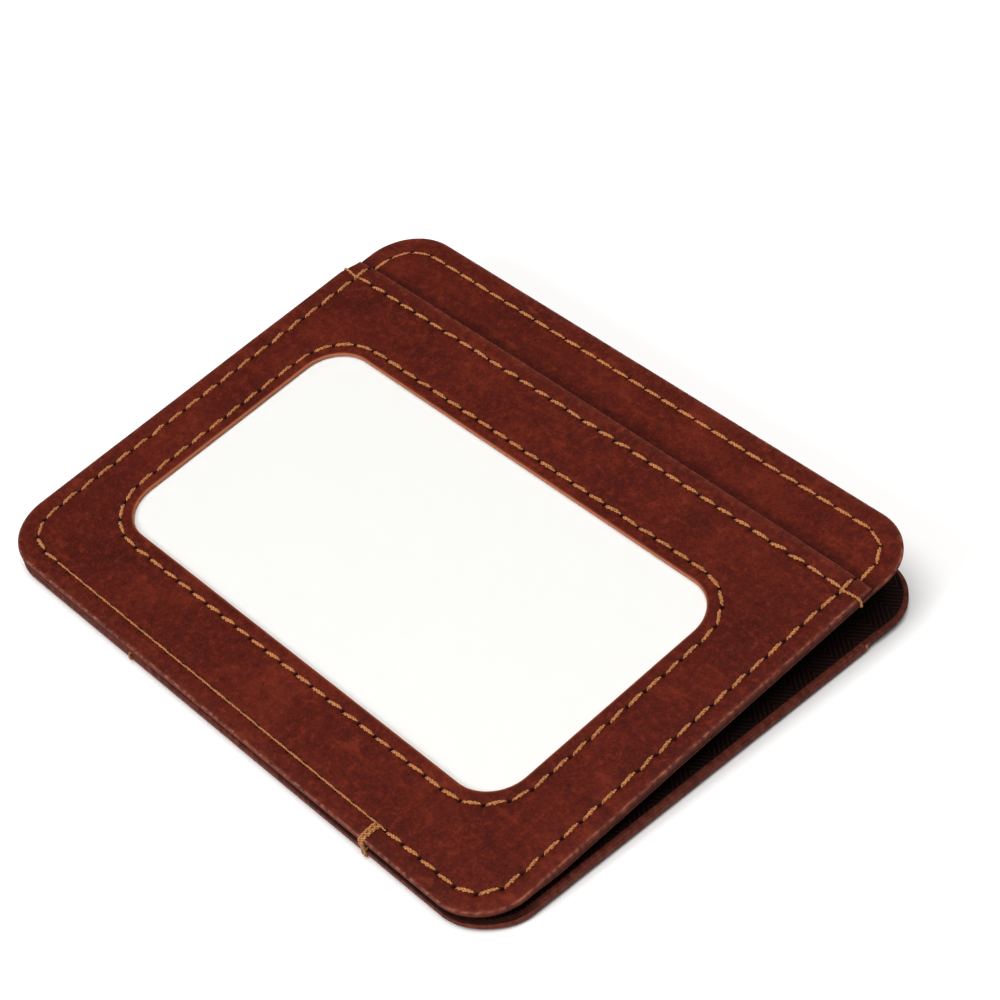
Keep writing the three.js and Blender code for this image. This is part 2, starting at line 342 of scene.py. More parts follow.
def join(pieces, name):
    """Several pieces as one."""
    choose(*pieces)
    if len(pieces) > 1:
        bpy.ops.object.join()
    joined = bpy.context.object
    joined.name = name
    joined.data.name = name
    return joined


def smooth_step(value):
    """0 below 0, 1 above 1 and an even curve between them."""
    t = np.clip(value, 0, 1)
    return t * t * (3 - 2 * t)


def read_points(piece):
    """The points of a mesh as three arrays."""
    points = np.zeros(len(piece.data.vertices) * 3)
    piece.data.vertices.foreach_get("co", points)
    return points.reshape(-1, 3).T.copy()


def write_points(piece, x, y, z):
    """Moves the points of a mesh to three arrays."""
    piece.data.vertices.foreach_set("co", np.stack([x, y, z], 1).ravel())
    piece.data.update()


def paint(piece, name, values):
    """Stores one number for each point, which the material reads by name."""
    layer = piece.data.attributes.new(name, "FLOAT", "POINT")
    layer.data.foreach_set("value", np.asarray(values, np.float32))


def ripple(x, y, size, seed):
    """Smooth noise between about -1 and 1 at each point, with bumps of the given size."""
    return np.array([
        noise.noise(Vector((a / size, b / size, seed))) for a, b in zip(x, y)
    ])


def settle(piece, matrix):
    """Puts a piece that was modelled flat in its place, with its object at the origin."""
    piece.data.transform(matrix)
    piece.data.update()
    return piece


# ---------------------------------------------------------------- lines of stitches

ARC_PARTS = 14
WINDOW_STRETCH = 0.45 * MM


def arc(centre_x, centre_y, radius, start, end):
    """Points on an arc, angles in degrees."""
    angles = [math.radians(start + (end - start) * i / ARC_PARTS) for i in range(ARC_PARTS + 1)]
    return [Vector((centre_x + radius * math.cos(a), centre_y + radius * math.sin(a))) for a in angles]


def sewn_line(sizes, stop_y, radius, upper=False):
    """The line of stitches round one end of a half: two sides that stop at a height and the end between."""
    side = WIDTH / 2 - STITCH_INSET
    corner = WIDTH / 2 - sizes.corner_radius
    centre_y = DEPTH - sizes.corner_radius if upper else sizes.corner_radius
    middle, turn = (90, -90) if upper else (270, 90)
    return [
        Vector((-side, stop_y)), *arc(-corner, centre_y, radius, 180, middle),
        *arc(corner, centre_y, radius, middle, middle + turn), Vector((side, stop_y)),
    ]


def window_line(sizes):
    """The closed ring of stitches round the window, from the middle of its lower side."""
    low, high, radius = window_edge(sizes, sizes.window_offset)
    middle = Vector(((low[0] + high[0]) / 2, low[1]))
    return [
        middle, *arc(high[0] - radius, low[1] + radius, radius, 270, 360),
        *arc(high[0] - radius, high[1] - radius, radius, 0, 90),
        *arc(low[0] + radius, high[1] - radius, radius, 90, 180),
        *arc(low[0] + radius, low[1] + radius, radius, 180, 270), middle,
    ]


def window_edge(sizes, offset=0):
    """Corners and corner radius of the window, or of a line that far outside it."""
    inside = THREAD_WIDTH / 2 + sizes.window_offset - offset
    low = (RING_LOW.x + inside - WINDOW_STRETCH, RING_LOW.y + inside)
    high = (RING_HIGH.x - inside + WINDOW_STRETCH, RING_HIGH.y - inside)
    return low, high, sizes.window_radius + offset


def needle_holes(line, pitch):
    """Evenly spaced points along a line, about a pitch apart."""
    lengths = [0]
    for a, b in zip(line, line[1:]):
        lengths.append(lengths[-1] + (b - a).length)
    count = round(lengths[-1] / pitch)
    holes = []
    leg = 0
    for index in range(count + 1):
        reach = lengths[-1] * index / count
        while leg < len(line) - 2 and lengths[leg + 1] < reach:
            leg += 1
        share = (reach - lengths[leg]) / (lengths[leg + 1] - lengths[leg])
        holes.append(line[leg].lerp(line[leg + 1], share))
    return holes


def hole_sets(sizes, side):
    """The needle holes of each line of stitches in one half."""
    radius = sizes.corner_radius - STITCH_INSET
    clear = THREAD_WIDTH / 2
    edge = WIDTH / 2 - STITCH_INSET
    sets = {
        "lower": needle_holes(sewn_line(sizes, MOUTH - clear, radius), sizes.stitch_pitch),
        "upper": needle_holes(sewn_line(sizes, MOUTH + clear, radius, upper=True), sizes.stitch_pitch),
        "slot": needle_holes([Vector((-edge, SLOT_LINE)), Vector((edge, SLOT_LINE))], sizes.stitch_pitch),
    }
    if side == "front":
        sets["window"] = needle_holes(window_line(sizes), sizes.stitch_pitch)
    return sets


# ---------------------------------------------------------------- leather

# Loops of the blank, in millimetres inside its edge, close together where edges and stitches need shape.
OUTER_RINGS = [
    0.03, 0.08, 0.14, 0.22, 0.34, 0.5, 0.7, 0.95, 1.3, 1.75,
    2.15, 2.4, 2.6, 2.75, 2.9, 3.05, 3.25, 3.5, 3.9, 4.6,
]
WINDOW_RINGS = [0.6, 1.1, 1.5, 1.75, 1.95, 2.1, 2.25, 2.4, 2.6, 2.85, 3.2, 3.6, 3.85, 3.95, 4.0]
UNDERSIDE_RINGS = [0.08, 3.8, 4.4]
WINDOW_BAND = WINDOW_RINGS[-1] * MM

# How the worked leather leaves its blank.
MOUTH_LIFT = {"front": 0.42 * MM, "back": 0.08 * MM}
CORNER_PRESS = {"front": 0.42, "back": 0.15}
BACKING_GROOVE = 1.4
WINDOW_ROUND = 0.13 * MM
SHARP_ROUND = 0.03 * MM
FILM_ROOM = 0.04 * MM
TURNED_LIP = 0.3 * MM
BACK_FOOT_DROP = 0.36 * MM
BACK_EDGE_INSET = 0.12 * MM
BACK_MARGIN = 0.2 * MM
FRONT_CUT_BACK = 0.55 * MM
FAR = 1.0


def slow_shape(side, layer, x, y):
    """How far the leather's face stands off its plane: slack at the slot's mouth and slow waves."""
    seed = {"front": 3.7, "back": 8.1}[side]
    wave = 0.045 * MM * ripple(x, y, 17 * MM, seed) + 0.02 * MM * ripple(x, y, 6 * MM, seed + 4)
    if layer != "outer":
        return wave
    slack = np.clip(1 - (x / (WIDTH / 2 - 4.5 * MM)) ** 2, 0, 1) ** 0.7
    return wave + MOUTH_LIFT[side] * slack * smooth_step((y - MOUTH + 9 * MM) / (9 * MM))


def leather_levels(side, layer):
    """Lower and upper face of a leather layer, and the height of its underside inside the rim."""
    if layer == "backing":
        return HALF_LOW.z, HALF_HIGH.z, HALF_LOW.z
    if side == "front":
        return PANEL_LOW.z, PANEL_HIGH.z, FILM_HIGH.z + FILM_ROOM
    return BACK_PANEL_LOW.z, BACK_PANEL_HIGH.z, BACK_PANEL_LOW.z


def layer_outline(sizes, layer):
    """Lowest and highest corner of a leather layer, and the radius of its upper corners."""
    if layer == "backing":
        return HALF_LOW, HALF_HIGH, sizes.corner_radius
    return PANEL_LOW, PANEL_HIGH, 0


def bell(distance, width):
    """1 at no distance, fading evenly over the width."""
    return np.exp(-((distance / width) ** 2))


def rounded_edge(depth, radius):
    """How far a face drops near an edge that is rounded to a radius."""
    return np.where(depth < radius, np.sqrt(np.maximum(radius**2 - (radius - depth) ** 2, 0)) - radius, 0)


def drawn_in(x, y, amount):
    """Points moved in from the side edges, and from the sewn edge, by up to an amount."""
    return x * (1 - amount / (WIDTH / 2)), y + amount * np.clip(1 - y / (10 * MM), 0, 1)


def nearest_stitching(x, y, whole, outside_window, sizes, side, layer):
    """Distance from each point to the nearest line of stitches and to the nearest needle hole."""
    line = np.minimum(np.abs(whole - STITCH_INSET), np.abs(outside_window - sizes.window_offset))
    if layer == "outer":
        line = np.minimum(line, np.abs(y - SLOT_LINE))
    else:
        line = np.where(y < MOUTH - MM, FAR, line)
    names = ["upper"] if layer == "backing" else ["lower", "slot", "window"]
    hole = np.full(len(x), FAR)
    for name, found in hole_sets(sizes, side).items():
        for place in found if name in names else []:
            hole = np.minimum(hole, np.hypot(x - place.x, y - place.y))
    return line, hole


def shape_leather(piece, sizes, side, layer, window):
    """Turns the flat blank into worked leather: round edges, a creased rim, grooves and needle holes."""
    x, y, level = read_points(piece)
    low, high, top_radius = layer_outline(sizes, layer)
    bottom_z, top_z, inner_z = leather_levels(side, layer)
    inside = depth_inside(x, y, low, high, sizes.corner_radius, top_radius)
    whole = depth_inside(x, y, HALF_LOW, HALF_HIGH, sizes.corner_radius, sizes.corner_radius)
    outside_window = np.full(len(x), FAR)
    if window:
        w_low, w_high, w_radius = window_edge(sizes)
        outside_window = -depth_inside(x, y, w_low, w_high, w_radius, w_radius)
    nearest_line, nearest_hole = nearest_stitching(x, y, whole, outside_window, sizes, side, layer)

    face = level > -0.5 * MM
    walls = ~face & ((inside < 0.02 * MM) | (outside_window < 0.02 * MM))
    foot = level < -1.5 * MM

    # A backing's upper edge is sharp where the outer panel lies on it and rounded where it is bare.
    covered = (layer == "backing") * (1 - smooth_step((y - MOUTH + MM) / (0.8 * MM)))
    edge_round = np.maximum(sizes.edge_round * (1 - covered), SHARP_ROUND)

    groove = bell(nearest_line, 0.5 * MM)
    pit = bell(nearest_hole, 0.31 * MM)
    pucker = bell(nearest_line, 1.1 * MM) * bell(nearest_hole, 0.8 * MM)
    beads = ripple(x, y, 0.9 * MM, 21)
    groove_depth = sizes.groove_depth * (BACKING_GROOVE if layer == "backing" else 1)
    slow = slow_shape(side, layer, x, y)
    z = top_z + slow + rounded_edge(inside, edge_round)
    z += rounded_edge(outside_window, WINDOW_ROUND)
    z -= groove_depth * groove + sizes.hole_depth * pit + 0.05 * MM * pucker
    z += (0.03 + 0.03 * beads) * MM * bell(inside - 0.42 * MM, 0.2 * MM)
    z -= 0.035 * MM * bell(inside - 0.95 * MM, 0.22 * MM)
    z -= 0.05 * MM * (1 - smooth_step(inside / (2.4 * MM)))

    # The underside is level, and raised inside the rim to leave room for the window.
    rim = np.minimum(WIDTH / 2 - np.abs(x), y)
    under = bottom_z + (inner_z - bottom_z) * smooth_step((rim - 3.9 * MM) / (0.5 * MM))
    if layer == "outer":
        under += slow
    sewn_end = 1 - smooth_step((y - 5 * MM) / (9 * MM))
    if layer == "outer" and side == "front":
        under += 0.2 * MM * sewn_end * (1 - smooth_step(whole / (1.2 * MM)))
    # The square corners at the slot's mouth are pressed down onto the backing.
    pressed = (layer == "outer") * smooth_step((np.abs(x) - WIDTH / 2 + 3 * MM) / (3 * MM))
    pressed = pressed * smooth_step((y - MOUTH + 3.5 * MM) / (3.5 * MM)) * MM
    press = CORNER_PRESS[side] * pressed
    z -= press
    under = np.maximum(under - 0.5 * press, np.minimum(under, bottom_z))
    z = np.where(face, z, under)
    wall_top = top_z + slow - press - np.where(outside_window < MM, WINDOW_ROUND, edge_round)
    z = np.where(walls & ~foot, (wall_top + under) / 2, z)
    z = np.where(walls & foot, under + SHARP_ROUND, z)
    if layer == "backing":
        # The edge turns in towards the other half: all round the back, and near one corner of the front.
        world_x = x if side == "front" else -x
        turned = 1.0 if side == "back" else 1 - smooth_step((world_x + 25 * MM) / (40 * MM))
        lip = TURNED_LIP * turned * (whole < 0.3 * MM) * (y < MOUTH)
        z = np.where(foot, z - lip, z)
    if layer == "outer" and side == "back":
        # The back's edge is rubbed into one wall, which the outer panel covers.
        z = np.where(foot & (whole < 0.3 * MM), z - BACK_FOOT_DROP, z)
    if layer == "backing" and side == "back":
        x, y = drawn_in(x, y, BACK_EDGE_INSET * covered)
    if layer == "backing" and side == "front":
        # Below the mouth the front backing is cut back, so that only the outer panel's thin edge shows.
        cut_back = FRONT_CUT_BACK * sewn_end * smooth_step((x + 30 * MM) / (40 * MM))
        x, y = drawn_in(x, y, cut_back)
    if side == "back":
        # The back's margin shows beyond the front's on the right.
        x = x - BACK_MARGIN * smooth_step((-x - WIDTH / 2 + 2.4 * MM) / (2.2 * MM))
    x = x - np.sign(x) * 0.3 * pressed
    swell = 0.03 * MM * (1 + ripple(x, y, 2.2 * MM, 33)) * (walls & (level > -1.5 * MM))
    write_points(piece, x + swell * np.sign(x) * (WIDTH / 2 - np.abs(x) < MM), y - swell * (y < MM), z)

    # The marks that the finish reads: worn edges with a painted highlight along their ridges, cut edges, and
    # painted shade in the needle holes, in the gap at the sewn edge and behind the slot's mouth.
    dots = np.clip(0.42 + 1.5 * ripple(x, y, 0.5 * MM, 52), 0, 1)
    # Painted highlight: a dotted light line along each edge's ridge, weaker along the slot's mouth, on top of
    # the edges' wear.
    ridge_highlight = bell(inside - 0.12 * MM, 0.14 * MM)
    ridge_highlight = ridge_highlight * np.where((layer == "outer") & (y > MOUTH - MM), 0.4, 1)
    wear_and_highlight = 0.15 * np.exp(-np.maximum(inside, 0) / (0.5 * MM)) + 0.95 * dots * ridge_highlight
    # Painted light: the back's walls are painted lighter than the front's, a painted highlight on top of
    # their wear.
    wall_wear_and_light = 0.12 * dots if side == "front" else 0.12 + 0.35 * dots
    paint(piece, "edge_wear_and_highlight", np.where(face, wear_and_highlight, wall_wear_and_light))
    raw = (outside_window < 0.3 * MM) & (outside_window > -MM)
    paint(piece, "raw_edge", np.where(face, bell(outside_window, 0.12 * MM), raw))
    # Painted shade: the backing's walls and underside near the sewn edge are painted near black, as if in
    # shadow in the gap between the layers.
    gap_shade = (layer == "backing") * ~face * (whole < MM) * sewn_end
    # Painted shadow: a dark band on the backing's face just behind the slot's mouth, where the outer panel's
    # lip would cast it.
    lip_shadow = (layer == "backing") * face * 0.42 * bell(np.maximum(y - MOUTH, 0), 2.7 * MM)
    # Painted shade: near black in the needle holes, and the painted shadow behind the slot's mouth; the
    # grooves add a little.
    dark = np.maximum(np.maximum(pit, 0.2 * groove) * face, lip_shadow)
    # The painted gap shade is weaker towards one end of the sewn edge.
    gap_shade = gap_shade * (0.4 + 0.6 * smooth_step((x * (1 if side == "front" else -1) + 5 * MM) / (35 * MM)))
    paint(piece, "painted_shade", np.maximum(dark, 0.55 * gap_shade))


def leather_blank(sizes, name, layer, window):
    """The flat blank of a leather layer: rings, a lattice or a window inside them, walls and an underside."""
    step = sizes.mesh_step
    low, high, top_radius = layer_outline(sizes, layer)
    rings = [ring * MM for ring in OUTER_RINGS]
    blank = ringed_outline(name, low, high, sizes.corner_radius, top_radius, rings, step)
    if window:
        drop_inner_face()
        w_low, w_high, w_radius = window_edge(sizes, WINDOW_BAND)
        window_rings = [ring * MM for ring in WINDOW_RINGS]
        frame_ring = ringed_outline("window_ring", w_low, w_high, w_radius, w_radius, window_rings, step)
        drop_inner_face()
        blank = join([blank, frame_ring], name)
        edit()

        def on_inner_loops(edge):
            middle = (edge.verts[0].co + edge.verts[1].co) / 2
            outer = depth_inside(middle.x, middle.y, low, high, sizes.corner_radius, top_radius)
            inner = depth_inside(middle.x, middle.y, w_low, w_high, w_radius, w_radius)
            return edge.is_boundary and outer > rings[-1] - MM / 5 and inner < MM / 5

        pick_edges(on_inner_loops)
        bpy.ops.mesh.bridge_edge_loops(number_cuts=4, interpolation="LINEAR")
    else:
        lattice_inner_face(low, high)
    for _ in range(2):
        pick_edges(lambda edge: edge.is_boundary)
        bpy.ops.mesh.extrude_region_move(TRANSFORM_OT_translate={"value": (0, 0, -MM)})
    if window:
        bpy.ops.mesh.bridge_edge_loops()
    else:
        bpy.ops.mesh.edge_face_add()
    bpy.ops.mesh.select_mode(type="FACE")
    reached = 0
    for distance in (ring * MM for ring in UNDERSIDE_RINGS):
        bpy.ops.mesh.inset(thickness=distance - reached, depth=0)
        reached = distance
    bpy.ops.mesh.select_all(action="SELECT")
    bpy.ops.mesh.normals_make_consistent(inside=False)
    bpy.ops.object.mode_set(mode="OBJECT")
    return blank


# ---------------------------------------------------------------- thread

PLY_RADIUS = 0.185 * MM
PLY_OFFSET = 0.10 * MM
TWIST = 1.5 * MM
BEAD = 0.46 * MM
STITCH_SPAN = 3.2 * MM
STITCH_HALF = 1.26 * MM
STITCH_STEPS = 9
WRAP_OUT = 0.22 * MM
WRAP_RIM = 0.30 * MM
WRAP_STEP = 0.16 * MM

# How a run differs from the rest: the seam is pulled in tight, and the top run lies flat under the card.
RUN_FITS = {
    "seam": {"scale": 0.55, "reach": 1.18, "lean": 0.0},
    "top": {"flat": 0.5, "lean": 0.5},
}


def two_ply(name, path, across, start_turn, roundness=0, thin=1.0):
    """Two strands twisted round a path in a plane; across is the direction square to that plane."""
    strands = []
    for ply in (0, 1):
        curve = bpy.data.curves.new(name, "CURVE")
        curve.dimensions = "3D"
        curve.bevel_depth = PLY_RADIUS * thin
        curve.bevel_resolution = roundness
        curve.use_fill_caps = True
        spline = curve.splines.new("POLY")
        spline.points.add(len(path) - 1)
        travelled = 0
        for index, point in enumerate(path):
            before, after = path[max(index - 1, 0)], path[min(index + 1, len(path) - 1)]
            if index:
                travelled += (point - path[index - 1]).length
            tangent = (after - before).normalized()
            lift = across.cross(tangent)
            angle = start_turn + math.pi * ply + 2 * math.pi * travelled / TWIST
            offset = (across * math.cos(angle) + lift * math.sin(angle)) * PLY_OFFSET * thin
            spline.points[index].co = (*(point + offset), 1)
        strand = bpy.data.objects.new(name, curve)
        bpy.context.scene.collection.objects.link(strand)
        strands.append(strand)
    choose(*strands)
    bpy.ops.object.convert(target="MESH")
    return join(strands, name)


def base_stitch():
    """One stitch for the usual pitch: twisted thread whose ends dive into the needle holes."""
    path = []
    for index in range(STITCH_STEPS + 1):
        share = 2 * index / STITCH_STEPS - 1
        path.append(Vector((STITCH_HALF * share, 0, -0.42 * MM * abs(share) ** 5)))
    stitch = two_ply("stitch", path, Vector((0, 1, 0)), 0.6)
    x, y, z = read_points(stitch)
    plump = 1 - 0.22 * (np.abs(x) / STITCH_HALF) ** 2
    paint(stitch, "twist_phase", x / BEAD + y / THREAD_WIDTH)
    write_points(stitch, x, y * plump, z * np.where(z > 0, 0.75, 1))
    return stitch


def copy_of(piece, matrix):
    """A copy of a piece with its own mesh, put where the matrix says."""
    copied = piece.copy()
    copied.data = piece.data.copy()
    copied.data.transform(matrix)
    bpy.context.scene.collection.objects.link(copied)
    return copied


def anywhere(x):
    """Keeps every stitch."""
    return True


def stitch_run(name, stitch, holes, height, chance, keep=anywhere, scale=1.0, reach=1.0, flat=1.0, lean=1.0):
    """A run of stitches between pairs of needle holes, at the height of the leather below them."""
    copies = []
    for start, end in zip(holes, holes[1:]):
        middle = (start + end) / 2
        slant = math.radians(chance.gauss(6.0, 2.5))
        wobble = chance.gauss(0, 0.035) * MM
        if not keep(middle.x):
            continue
        span = (end - start).length / STITCH_SPAN
        turn = math.atan2(end.y - start.y, end.x - start.x)
        z = height(middle.x, middle.y) - (0.05 + 0.16 * (1 - flat)) * MM + wobble * flat
        copies.append(copy_of(
            stitch,
            Matrix.Translation((middle.x, middle.y, z))
            @ Matrix.Rotation(turn + slant * lean, 4, "Z")
            @ Matrix.Diagonal((span * reach, scale * chance.uniform(0.92, 1.08), scale * flat, 1)),
        ))
    return join(copies, name)


def face_height(side, layer):
    """A function that gives the height of a leather face at one place."""
    top_z = leather_levels(side, layer)[1]

    def height(x, y):
        return top_z + float(slow_shape(side, layer, np.array([x]), np.array([y]))[0])

    return height


TWO_STRANDS = ((-0.22, 0.12), (0.24, -0.06))


def edge_wrap(name, at, along_x, top_z, foot_z, edge, strand_lines=TWO_STRANDS, thin=1.0):
    """Strands that wrap over an edge: from the stitch line, over the rim and down to the foot."""
    strands = []
    reach, out, rim = STITCH_INSET, WRAP_OUT, WRAP_RIM
    profile = [
        (-reach, top_z - 0.3 * MM), (-reach * 0.93, top_z + 0.02 * MM), (-reach * 0.6, top_z + 0.13 * MM),
        (-reach * 0.3, top_z + 0.1 * MM), (-rim, top_z + 0.03 * MM), (0, top_z - 0.12 * MM),
        (out * 0.75, top_z - 0.35 * MM), (out * 0.8, (top_z + foot_z) / 2), (out * 0.6, foot_z + 0.1 * MM),
        (0, foot_z - 0.06 * MM), (-rim * 1.5, foot_z - 0.02 * MM),
    ]
    for index, (shift, lean) in enumerate(strand_lines):
        path = []
        for point in smooth_path([Vector(point) for point in profile], WRAP_STEP):
            sideways = (shift + lean * (point.x / reach)) * MM
            if along_x:
                path.append(Vector((at + sideways, -point.x + edge, point.y)))
            else:
                path.append(Vector((math.copysign(1, edge) * (abs(edge) + point.x), at + sideways, point.y)))
        across = Vector((1, 0, 0)) if along_x else Vector((0, 1, 0))
        strands.append(two_ply(f"{name}_{index}", path, across, index * 1.1, roundness=1, thin=thin))
    wrap = join(strands, name)
    x, y, z = read_points(wrap)
    out, across = (-y, x) if along_x else (np.abs(x), y)
    paint(wrap, "twist_phase", (out - z) / BEAD + across / THREAD_WIDTH)
    return wrap


def smooth_path(points, spacing):
    """Points of a smooth curve through the given ones, about a spacing apart."""
    ends = [points[0] * 2 - points[1], *points, points[-1] * 2 - points[-2]]
    found = []
    for before, start, end, after in zip(ends, ends[1:], ends[2:], ends[3:]):
        parts = max(2, round((end - start).length / spacing))
        for index in range(parts):
            t = index / parts
            found.append(0.5 * (
                2 * start + (end - before) * t + (2 * before - 5 * start + 4 * end - after) * t**2
                + (3 * start - before - 3 * end + after) * t**3
            ))
    return [*found, points[-1]]


# ---------------------------------------------------------------- sheets

SHEET_RINGS = [0.3 * MM, 1.2 * MM]
SHEET_STEP = 0.9 * MM


def thin_sheet(name, low, high, radius):
    """A thin closed sheet between two corners, with round corners and cut finely enough to bend."""
    sheet = ringed_outline(name, low, high, radius, radius, SHEET_RINGS, SHEET_STEP)
    lattice_inner_face(low, high)
    bpy.ops.object.mode_set(mode="OBJECT")
    solid = sheet.modifiers.new("thickness", "SOLIDIFY")
    solid.thickness = high.z - low.z
    solid.offset = 1
    bpy.ops.object.modifier_apply(modifier=solid.name)
    x, y, z = read_points(sheet)
    write_points(sheet, x, y, z + low.z)
    return sheet


# ---------------------------------------------------------------- finishes

def build_nodes(name):
    """A new material's node tree and its surface shader."""
    material = bpy.data.materials.new(name)
    material.use_nodes = True
    return material, material.node_tree, material.node_tree.nodes["Principled BSDF"]


def give(tree, socket, value):
    """Links a node's output to a socket, or sets a plain value on it."""
    if isinstance(value, bpy.types.NodeSocket):
        tree.links.new(value, socket)
    elif socket.type == "RGBA":
        socket.default_value = (*value, 1)
    else:
        socket.default_value = value


def fill(tree, node, **inputs):
    """Fills a node's inputs with values or links. Names use _ for spaces."""
    for key, value in inputs.items():
        give(tree, node.inputs[key.replace("_", " ")], value)


def add(tree, kind, settings=None, **inputs):
    """Adds a node, sets its settings, and fills its inputs with values or links."""
    node = tree.nodes.new(kind)
    for key, value in (settings or {}).items():
        setattr(node, key, value)
    fill(tree, node, **inputs)
    return node


def millimetres(tree, scale=(1, 1, 1), turn=0.0):
    """Object coordinates in millimetres, stretched and turned about Z."""
    place = tree.nodes.new("ShaderNodeTexCoord").outputs["Object"]
    stretched = tuple(1000 * s for s in scale)
    return add(tree, "ShaderNodeMapping", Vector=place, Scale=stretched, Rotation=(0, 0, turn)).outputs[0]


def cloud(tree, vector, scale, detail=3.0, roughness=0.55):
    """Noise of about one bump in 1 / scale millimetres."""
    return add(
        tree, "ShaderNodeTexNoise", Vector=vector, Scale=scale, Detail=detail, Roughness=roughness
    ).outputs["Fac"]


def ramp(tree, value, low, high, out_low=0.0, out_high=1.0):
    """A value brought from one range to another and clamped."""
    return add(
        tree, "ShaderNodeMapRange", Value=value, From_Min=low, From_Max=high, To_Min=out_low, To_Max=out_high
    ).outputs["Result"]


def math_node(tree, operation, a, b=0.0):
    """One step of arithmetic."""
    node = tree.nodes.new("ShaderNodeMath")
    node.operation = operation
    for socket, value in zip(node.inputs, (a, b)):
        give(tree, socket, value)
    return node.outputs[0]


def times(tree, a, b):
    """One number times another."""
    return math_node(tree, "MULTIPLY", a, b)


def blend_colour(tree, share, first, second):
    """Mixes two colours."""
    node = tree.nodes.new("ShaderNodeMix")
    node.data_type = "RGBA"
    for key, value in (("Factor", share), (6, first), (7, second)):
        give(tree, node.inputs[key], value)
    return node.outputs[2]


def surface_number(tree, name):
    """A number stored on the piece's own points."""
    return add(tree, "ShaderNodeAttribute", {"attribute_name": name}).outputs["Fac"]


def bump(tree, height, distance, strength, before=None):
    """Adds relief, a distance in metres high, on top of an earlier relief."""
    node = add(tree, "ShaderNodeBump", Height=height, Distance=distance, Strength=strength)
    if before:
        tree.links.new(before, node.inputs["Normal"])
    return node.outputs["Normal"]


def leather_finish(colours):
    """Waxed, mottled leather with fine pores, worn and cut edges, a painted highlight along the edges'
    ridges, and painted shade in holes, gaps and folds.
    """
    material, tree, shader = build_nodes("waxed_leather")
    place = millimetres(tree)
    patches = cloud(tree, place, 0.11, detail=3, roughness=0.5)
    mottle = cloud(tree, place, 0.9, detail=5, roughness=0.72)
    grain = cloud(tree, place, 2.6, detail=4, roughness=0.8)
    streaks = cloud(tree, millimetres(tree, scale=(0.09, 0.75, 0.5), turn=0.35), 1.0, detail=3)
    pebbles = add(
        tree, "ShaderNodeTexVoronoi", {"feature": "DISTANCE_TO_EDGE"}, Vector=place, Scale=1.9, Randomness=1.0
    ).outputs["Distance"]
    pores = add(tree, "ShaderNodeTexVoronoi", Vector=place, Scale=1.9, Randomness=1.0).outputs["Distance"]

    scuffs = cloud(tree, millimetres(tree, scale=(0.16, 0.34, 0.3), turn=-0.5), 1.0, detail=4, roughness=0.7)

    dark, base, light = colours.leather_dark[:], colours.leather[:], colours.leather_light[:]
    colour = blend_colour(tree, ramp(tree, patches, 0.25, 0.62, 0.35, 1), dark, base)
    for field, none_at, full_at, share, tint in (
        (patches, 0.52, 0.80, 0.35, light),
        (mottle, 0.52, 0.68, 0.65, light),
        (mottle, 0.47, 0.32, 0.7, dark),
        (grain, 0.48, 0.34, 0.6, dark),
        (grain, 0.54, 0.68, 0.6, light),
        (streaks, 0.60, 0.78, 0.35, light),
        (pores, 0.16, 0.05, 0.5, dark),
        (scuffs, 0.60, 0.70, 0.6, light),
        (scuffs, 0.42, 0.30, 0.5, dark),
    ):
        colour = blend_colour(tree, ramp(tree, field, none_at, full_at, 0, share), colour, tint)

    # Worn edges, with a painted highlight along their ridges and on the back's walls, in the burnished
    # colour.
    worn_and_highlight = surface_number(tree, "edge_wear_and_highlight")
    patchy = times(tree, worn_and_highlight, ramp(tree, mottle, 0.30, 0.62, 0.35, 1.0))
    colour = blend_colour(tree, times(tree, patchy, 0.75), colour, colours.burnish_and_highlight[:])
    raw = surface_number(tree, "raw_edge")
    fibres = cloud(tree, place, 7.0, detail=2)
    raw_colour = blend_colour(tree, ramp(tree, fibres, 0.35, 0.65), colours.raw_edge[:], colours.burnish_and_highlight[:])
    colour = blend_colour(tree, raw, colour, raw_colour)
    # Painted shade: near black in the needle holes, in the gap at the sewn edge and behind the slot's mouth.
    darkened = surface_number(tree, "painted_shade")
    colour = blend_colour(tree, ramp(tree, darkened, 0.22, 0.6), colour, (0.006, 0.002, 0.0015))

    gloss = ramp(tree, mottle, 0.3, 0.7, 0.48, 0.66)
    gloss = math_node(tree, "ADD", gloss, times(tree, darkened, 0.4))
    relief = bump(tree, ramp(tree, pebbles, 0.0, 0.16), 0.02 * MM, 0.3)
    relief = bump(tree, grain, 0.09 * MM, 0.6, relief)
    relief = bump(tree, ramp(tree, pores, 0.05, 0.2), 0.04 * MM, 0.5, relief)
    relief = bump(tree, mottle, 0.12 * MM, 0.35, relief)
    fill(tree, shader, Base_Color=colour, Roughness=gloss, Specular_IOR_Level=0.05, Normal=relief)
    return material


